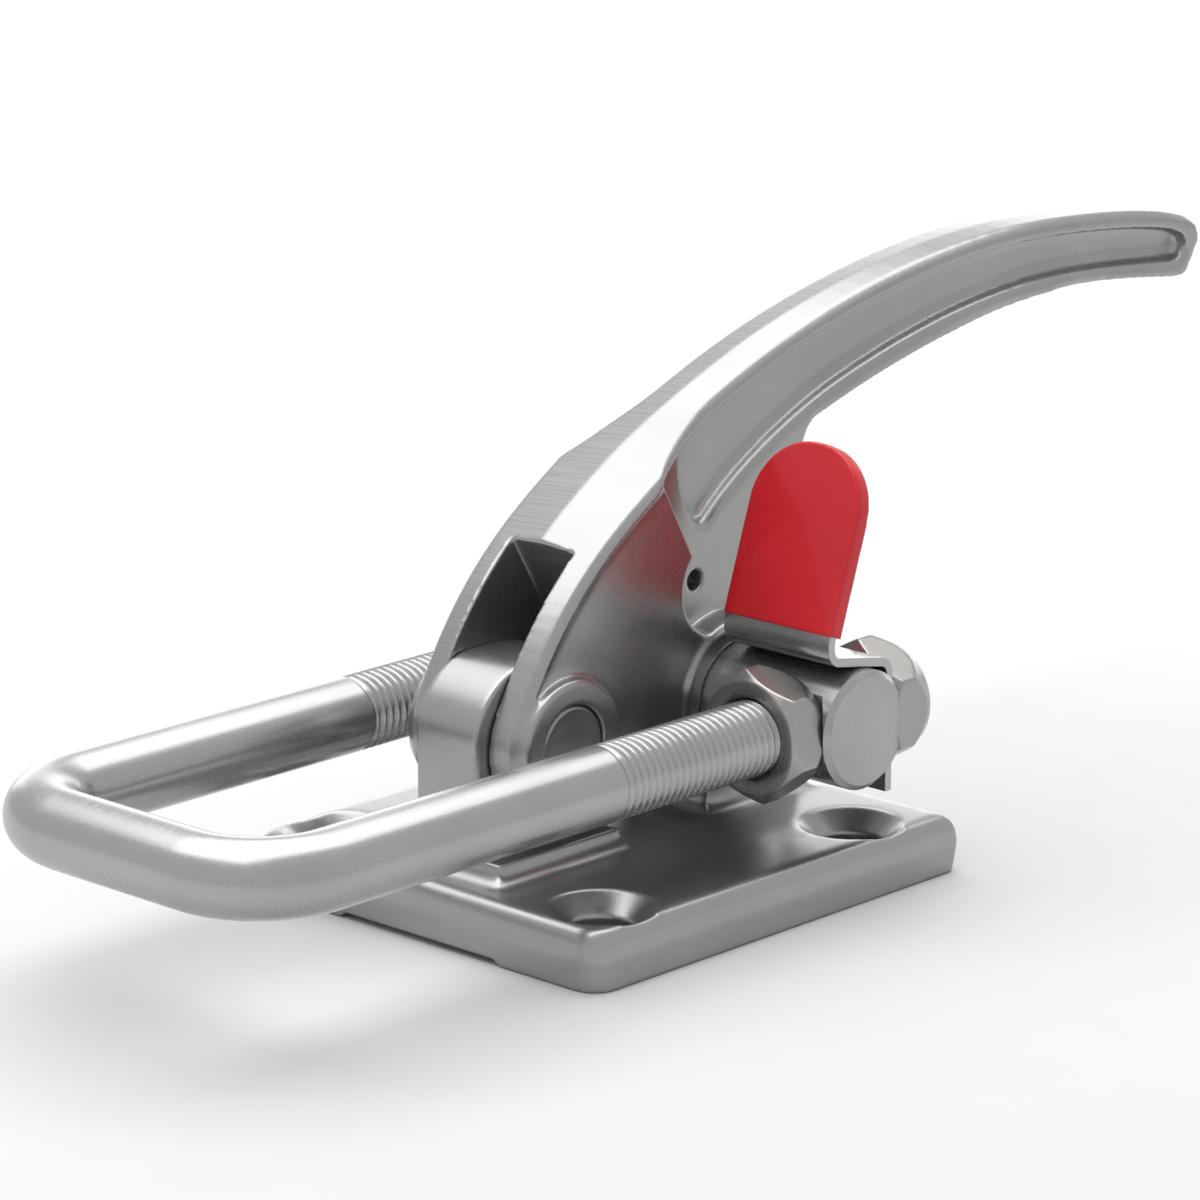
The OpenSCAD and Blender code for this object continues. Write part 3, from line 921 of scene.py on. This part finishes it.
class Piece:
    """One visible piece that stands for a CAD node."""

    node: str
    slot: Slot
    finish: SteelFinish | None = None

    def shape(self) -> bpy.types.Object:
        """Makes the piece's object.

        Returns:
            The object, in the part's frame.
        """
        raise NotImplementedError

    def material(self) -> bpy.types.Material:
        """The piece's material.

        Returns:
            The material.
        """
        return MATERIALS.steel(self.finish)

    def build(self) -> bpy.types.Object:
        """Makes the piece and puts it in place of its node.

        Returns:
            The finished object.
        """
        piece = self.shape()
        piece.data.materials.clear()
        piece.data.materials.append(self.material())
        body = frame["nodes"][self.node]["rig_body"]
        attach(piece, body)
        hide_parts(self.node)
        faces = sum(len(p.vertices) - 2 for p in piece.data.polygons)
        LOG.info("%s: %d triangles on %s", piece.name, faces, body)
        return piece


class ForgedBase(Piece):
    """The forged base, its edges rounded and its foot fillets softened."""

    node = "base"
    slot = Slot.FORGED
    finish = FORGED
    # Radii round a screw hole between which the smoothing sets in
    sink_guard = (11.6, 12.2)
    # Heights: where the rounding of the plate's edges sets in, where it gives way to that of
    # the rails, and where that ends
    plate_low = (8.5, 10.5)
    plate_high = 14.0
    rails_high = 22.0

    @classmethod
    def off_holes(cls, p: np.ndarray) -> np.ndarray:
        """Share of the smoothing that leaves the countersinks crisp.

        Args:
            p: the points, in millimetres.

        Returns:
            The shares.
        """
        half = SIZES.hole_pitch / 2
        hole = np.hypot(np.abs(p[:, 0]) - half, np.abs(p[:, 1]) - half)
        return smoothstep(hole, *cls.sink_guard)

    @classmethod
    def hollows(cls, p: np.ndarray) -> np.ndarray:
        """Share of the filling of hollow corners, which leaves the bore crisp too.

        Args:
            p: the points, in millimetres.

        Returns:
            The shares.
        """
        bore = reach_from(p, SIZES.pivot_x, SIZES.pivot_z)
        return np.where(bore < SIZES.pin_d / 2 + 1, 0.0, cls.off_holes(p))

    @classmethod
    def proud_edges(cls, p: np.ndarray) -> np.ndarray:
        """Share of the rounding, full on the plate's top edges and less on the rails.

        Args:
            p: the points, in millimetres.

        Returns:
            The shares.
        """
        z = p[:, 2]
        plate = smoothstep(cls.plate_high - z, 0.0, 0.8) * smoothstep(z, *cls.plate_low)
        rails = smoothstep(z, cls.plate_high, cls.plate_high + 1.0) * smoothstep(
            cls.rails_high - z, 0.0, 2.0)
        return cls.off_holes(p) * np.maximum(plate, 0.6 * rails)

    def shape(self) -> bpy.types.Object:
        """Makes the base.

        Returns:
            The object.
        """
        piece = MeshTools.remeshed(self.node, "base_forging", 0.48)
        MeshTools.relaxed(piece, 5)
        MeshTools.eased(piece, 20, self.hollows)
        MeshTools.eased(piece, 10, self.proud_edges, proud=True)
        MeshTools.thinned(piece, 0.5)
        return piece


class ForgedHandle(Piece):
    """The forged handle, with soft rims, pockets and bosses."""

    node = "handle"
    slot = Slot.FORGED
    finish = BELTED
    # Turn round the pin, in degrees: where the carried rim sets in and where it fades out
    rim_start = (143.0, 147.0)
    rim_fade = (200.0, 250.0)
    # How far under the cheeks' round ends a point is left alone, and how far it moves in full
    skin = (0.9, 0.2)
    # Width of the crisp edge round each bore, and the slot between the cheeks, by half its
    # width and its rear end
    crisp_edge = 1.2
    slot_half = 10.0
    slot_rear = 4.0
    # Where along the arm the easing of the pockets' lower edge sets in, and its half width
    toe = (20.0, 26.0)
    edge_band = (1.6, 3.4)

    @classmethod
    def carry_rim(cls, piece: bpy.types.Object) -> None:
        """Carries the gabled rim on round the cheeks' ends, until it fades out below.

        Args:
            piece: the handle's net.
        """
        net = Net(piece)
        p = net.places / MM
        x, z = p[:, 0] - SIZES.pivot_x, p[:, 2] - SIZES.pivot_z
        reach = np.hypot(x, z)
        turn = np.degrees(np.arctan2(z, x)) % 360.0
        wide = np.abs(p[:, 1])
        edge = SIZES.fork_w / 2 - SIZES.rim_break
        rim = SIZES.cheek_r + SIZES.rim_break + SIZES.gable_fall * (edge - wide)
        rim = np.where(wide > edge, SIZES.cheek_r + SIZES.fork_w / 2 - wide, rim)
        stays = smoothstep(turn, *cls.rim_start) * (1.0 - smoothstep(turn, *cls.rim_fade))
        deep, shallow = cls.skin
        skin = smoothstep(reach, SIZES.cheek_r - deep, SIZES.cheek_r - shallow)
        grown = reach + stays * skin * np.maximum(rim - reach, 0.0)
        p[:, 0] = SIZES.pivot_x + x * grown / reach
        p[:, 2] = SIZES.pivot_z + z * grown / reach
        net.places = p * MM
        net.write()

    @classmethod
    def hollows(cls, p: np.ndarray) -> np.ndarray:
        """Share of the filling of hollow corners, which leaves bores and slot crisp.

        Args:
            p: the points, in millimetres.

        Returns:
            The shares.
        """
        pin = reach_from(p, SIZES.pivot_x, SIZES.pivot_z) < SIZES.pin_d / 2 + cls.crisp_edge
        rod = reach_from(p, SIZES.rod_x, SIZES.rod_z) < SIZES.rod_d / 2 + cls.crisp_edge
        slot = (np.abs(p[:, 1]) < cls.slot_half) & (p[:, 0] < cls.slot_rear)
        return np.where(pin | rod | slot, 0.0, 1.0)

    @classmethod
    def pocket_edge(cls, p: np.ndarray) -> np.ndarray:
        """Share of the smoothing along the pockets' lower edge.

        Args:
            p: the points, in millimetres.

        Returns:
            The shares.
        """
        low = np.interp(p[:, 0], *zip(*POCKET_EDGE))
        beside = smoothstep(np.abs(p[:, 2] - low), *cls.edge_band)
        return smoothstep(p[:, 0], *cls.toe) * (1.0 - beside)

    def shape(self) -> bpy.types.Object:
        """Makes the handle.

        Returns:
            The object.
        """
        piece = MeshTools.remeshed(self.node, "handle_forging", 0.44)
        self.carry_rim(piece)
        MeshTools.relaxed(piece, 7)
        MeshTools.eased(piece, 22, self.hollows)
        MeshTools.relaxed(piece, 22, self.pocket_edge, full=True)
        MeshTools.thinned(piece, 0.46)
        return piece


class CrossRod(Piece):
    """The turned cross rod with its flats, seats and leg holes."""

    node = "trunnion"
    slot = Slot.TURNED
    finish = ROD

    def shape(self) -> bpy.types.Object:
        """Makes the rod.

        Returns:
            The object.
        """
        return MeshTools.bevelled(self.node, "cross_rod", 0.25)


class PivotPin(Piece):
    """The plain pin, its faced ends chamfered and dished."""

    node = "pivot_pin"
    slot = Slot.PIN
    finish = PIN

    def shape(self) -> bpy.types.Object:
        """Makes the pin.

        Returns:
            The object.
        """
        low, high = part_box(self.node)
        half = (high.y - low.y) / 2 / MM
        r = SIZES.pin_d / 2
        side = [(half - 0.25, 0.5), (half - 0.22, 3.0), (half - 0.1, r - 1.3),
                (half, r - 1.05), (half, r - 0.8), (half - 0.2, r - 0.5),
                (half - 0.55, r - 0.15), (half - 0.8, r), (half - 1.2, r)]
        profile = [(-y, radius) for y, radius in side] + [(y, radius) for y, radius in side[::-1]]
        angles = np.linspace(0, 2 * math.pi, 96, endpoint=False)
        rings = [
            np.stack([SIZES.pivot_x + radius * np.cos(angles),
                      np.full_like(angles, y),
                      SIZES.pivot_z + radius * np.sin(angles)], axis=1)
            for y, radius in profile
        ]
        return MeshTools.ring_grid("pivot_pin_ground", rings)


class UBolt(Piece):
    """The bent bar with a helical thread on both legs."""

    node = "u_bolt"
    slot = Slot.TURNED
    finish = TURNED
    # Points round the bar, and rings for each turn of the thread
    around = 64
    rings_per_turn = 10
    # Shares of the way from groove to ridge at which the flank starts and ends
    flank_low = 0.08
    flank_high = 0.90
    # Length over which the thread runs out, and of the chamfer at the leg's end
    run_out = 2.2
    nose_len = 1.2

    def radius(self, x: np.ndarray, angle: np.ndarray) -> np.ndarray:
        """Radius of a leg.

        Args:
            x: place along the leg, in millimetres.
            angle: angle round the leg, from +Y towards +Z.

        Returns:
            The radius there.
        """
        r = SIZES.bar_d / 2
        phase = (x / SIZES.thread_pitch - angle / (2 * math.pi)) % 1.0
        flank = np.clip(np.abs(phase - 0.5) * 2.0, self.flank_low, self.flank_high)
        flank = (flank - self.flank_low) / (self.flank_high - self.flank_low)
        start = smoothstep(x, SIZES.thread_start, SIZES.thread_start + self.run_out)
        depth = SIZES.thread_depth * (1.0 - flank) * start
        nose = np.clip(SIZES.leg_end - x, 0.0, self.nose_len) - self.nose_len
        return np.minimum(r - depth, r + nose)

    def leg(self, side: Side) -> list[np.ndarray]:
        """Rings of one leg, from its end to its bend.

        Args:
            side: which leg.

        Returns:
            The rings, in millimetres.
        """
        step = SIZES.thread_pitch / self.rings_per_turn
        threaded = np.arange(SIZES.leg_end, SIZES.thread_start - 0.3, -step)
        plain = np.linspace(SIZES.thread_start - 2, SIZES.bail_x + SIZES.bend_r, 6)
        angles = np.linspace(0, 2 * math.pi, self.around, endpoint=False)
        y0 = side.value * SIZES.leg_y
        rings = []
        for x in np.concatenate([threaded, plain]):
            r = self.radius(np.full_like(angles, x), angles)
            rings.append(np.stack([np.full_like(angles, x), y0 + r * np.cos(angles),
                                   SIZES.rod_z + r * np.sin(angles)], axis=1))
        return rings

    def bend(self, side: Side) -> list[np.ndarray]:
        """Rings of one bend, from its leg to the bail.

        Args:
            side: which bend.

        Returns:
            The rings, in millimetres.
        """
        angles = np.linspace(0, 2 * math.pi, self.around, endpoint=False)
        centre = np.array([SIZES.bail_x + SIZES.bend_r, side.value * (SIZES.leg_y - SIZES.bend_r)])
        rings = []
        for turn in np.linspace(0, math.pi / 2, 26)[1:]:
            out = np.array([-math.sin(turn), side.value * math.cos(turn)])
            r = SIZES.bar_d / 2
            across = r * np.cos(angles) * side.value
            spots = centre + out * (SIZES.bend_r + across)[:, None]
            rings.append(np.column_stack([spots, SIZES.rod_z + r * np.sin(angles)]))
        return rings

    def mirrored(self, ring: np.ndarray) -> np.ndarray:
        """The far half's ring, its points renumbered to meet the near half's.

        Args:
            ring: a ring of the far half.

        Returns:
            The ring in the near half's order.
        """
        half = self.around // 2
        order = [(half - i) % self.around for i in range(self.around)]
        return ring[order]

    def shape(self) -> bpy.types.Object:
        """Makes the U-bolt.

        Returns:
            The object.
        """
        near = self.leg(Side.NEAR) + self.bend(Side.NEAR)
        far = self.leg(Side.FAR) + self.bend(Side.FAR)
        flipped = [self.mirrored(ring) for ring in far[::-1]]
        return MeshTools.ring_grid("u_bolt_threaded", near + flipped)


class HexNut(Piece):
    """A hexagon nut with a chamfered face and a long tapered end."""

    slot = Slot.NUT
    finish = NUT
    around = 240
    clearance = 0.05
    # How sharp the hexagon's corners are, and the edges where the chamfers cross the flats
    corner_sharp = 90.0
    edge_sharp = 14.0
    # How far the front chamfer starts inside the flats, and how far the full hexagon's
    # corners are kept clear of the rear taper
    front_inset = 0.35
    corner_spare = 0.4

    def __init__(self, node: str, side: Side, turn: float) -> None:
        """Keeps where the nut goes.

        Args:
            node: its CAD node.
            side: the leg that it is on.
            turn: how far a corner is turned from the top, in degrees.
        """
        self.node = node
        self.side = side
        self.turn = turn

    def soft_low(self, a: np.ndarray, b: np.ndarray) -> np.ndarray:
        """The lower of two heights, with a small fillet where they cross.

        Args:
            a: first heights, in millimetres.
            b: second heights.

        Returns:
            The blended heights.
        """
        return -np.logaddexp(-self.edge_sharp * a, -self.edge_sharp * b) / self.edge_sharp

    def shape(self) -> bpy.types.Object:
        """Makes the nut.

        Returns:
            The object.
        """
        low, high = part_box(self.node)
        length = (high.x - low.x) / MM
        flat = SIZES.nut_af / 2
        corner = flat / math.cos(math.pi / 6)
        bore = SIZES.bar_d / 2 + self.clearance
        tail = SIZES.nut_taper_d / 2
        taper = (corner - tail) / (length - SIZES.nut_hex_len)
        angles = np.linspace(0, 2 * math.pi, self.around, endpoint=False)
        tilt = math.radians(90 + self.turn)
        sides = np.stack([np.cos(angles - tilt - math.radians(30 + 60 * k)) for k in range(6)])
        blend = np.log(np.exp(self.corner_sharp * sides).sum(axis=0)) / self.corner_sharp
        hexagon = flat / blend

        def ring(x: float, radius: np.ndarray | float) -> np.ndarray:
            y = self.side.value * SIZES.leg_y + radius * np.cos(angles)
            z = SIZES.rod_z + radius * np.sin(angles)
            return np.stack([np.full_like(angles, low.x / MM + x), y, z], axis=1)

        mouth = [(1.2, bore), (0.15, bore + 0.85), (0.0, bore + 1.1)]
        rings = [ring(x, radius) for x, radius in mouth]
        rings.append(ring(0.0, flat - 0.9))
        for x in np.concatenate([np.linspace(0.0, 3.0, 21), np.linspace(3.2, length - 0.5, 34)]):
            front = flat - self.front_inset + x / SIZES.front_chamfer * (corner - flat)
            rear = corner - max(x - SIZES.nut_hex_len, 0.0) * taper
            if x <= SIZES.nut_hex_len:
                rear += self.corner_spare
            rings.append(ring(x, self.soft_low(hexagon, np.full_like(angles, min(front, rear)))))
        rings.append(ring(length - 0.18, tail - 0.12))
        rings.append(ring(length, tail - 0.5))
        rings += [ring(length - x, radius) for x, radius in reversed(mouth)]
        return MeshTools.ring_grid(f"{self.node}_machined", rings, closed=True)


class ControlLever(Piece):
    """The bent sheet lever, its edges lightly broken."""

    node = "control_lever"
    slot = Slot.SHEET
    finish = SHEET

    def shape(self) -> bpy.types.Object:
        """Makes the lever.

        Returns:
            The object.
        """
        return MeshTools.bevelled(self.node, "lever_sheet", 0.2)


class LeverCap(Piece):
    """The dipped vinyl cap, soft all round."""

    node = "lever_cap"
    slot = Slot.VINYL

    def material(self) -> bpy.types.Material:
        """Vinyl, not steel.

        Returns:
            The material.
        """
        return MATERIALS.vinyl()

    def shape(self) -> bpy.types.Object:
        """Makes the cap.

        Returns:
            The object.
        """
        piece = MeshTools.remeshed(self.node, "lever_cap_dipped", 0.3)
        MeshTools.relaxed(piece, 8)
        MeshTools.eased(piece, 8, proud=True)
        return piece


class Studio:
    """Floor, lights and camera."""

    @staticmethod
    def floor() -> None:
        """Lays a pale floor under the base."""
        bm = bmesh.new()
        bmesh.ops.create_grid(bm, x_segments=1, y_segments=1, size=4.0)
        piece = MeshTools.from_bmesh("floor", bm)
        piece.location = (0.0, 0.0, -0.00005)
        piece.data.materials.append(MATERIALS.floor())

    @staticmethod
    def hang(panel: Panel) -> None:
        """Hangs one soft light.

        Args:
            panel: the light.
        """
        light = bpy.data.lights.new(panel.name, "AREA")
        light.shape = "RECTANGLE"
        width, height = panel.size
        light.size = width
        light.size_y = height
        light.energy = panel.radiance * math.pi * width * height
        lamp = bpy.data.objects.new(panel.name, light)
        lamp.location = panel.place
        aim = Vector(panel.target) - Vector(panel.place)
        lamp.rotation_euler = aim.to_track_quat("-Z", "Y").to_euler()
        bpy.context.scene.collection.objects.link(lamp)

    @staticmethod
    def world() -> None:
        """Sets an even, dim surround."""
        world = bpy.data.worlds.new("surround")
        world.use_nodes = True
        back = world.node_tree.nodes["Background"]
        back.inputs["Color"].default_value = (1.0, 1.0, 1.0, 1.0)
        back.inputs["Strength"].default_value = SURROUND
        bpy.context.scene.world = world

    @staticmethod
    def camera() -> None:
        """Stands the camera where the photograph was taken."""
        data = bpy.data.cameras.new("photo_camera")
        data.lens = SHOT.lens
        data.sensor_width = SHOT.sensor
        data.clip_start = 0.05
        data.clip_end = 20.0
        camera = bpy.data.objects.new("photo_camera", data)
        camera.location = [v * MM for v in SHOT.place_mm]
        tilt = math.radians(90.0 - SHOT.elevation)
        camera.rotation_euler = (tilt, 0.0, math.radians(SHOT.azimuth))
        bpy.context.scene.collection.objects.link(camera)
        bpy.context.scene.camera = camera

    def build(self) -> None:
        """Sets up the whole studio."""
        bpy.context.scene.view_settings.view_transform = "Standard"
        self.floor()
        self.world()
        self.hang(OVERHEAD)
        self.hang(REAR_BANK)
        self.camera()


def main() -> None:
    """Builds the scene."""
    logging.basicConfig(level=logging.INFO, format="%(name)s %(message)s")
    pieces: list[Piece] = [
        ForgedBase(),
        ForgedHandle(),
        CrossRod(),
        PivotPin(),
        UBolt(),
        HexNut("front_nut_near", Side.NEAR, -11.0),
        HexNut("front_nut_far", Side.FAR, 6.0),
        HexNut("rear_nut_near", Side.NEAR, 0.0),
        HexNut("rear_nut_far", Side.FAR, 8.0),
        ControlLever(),
        LeverCap(),
    ]
    for piece in pieces:
        piece.build()
    Studio().build()
    LOG.info("boxes written")


if __name__ == "__main__":
    main()
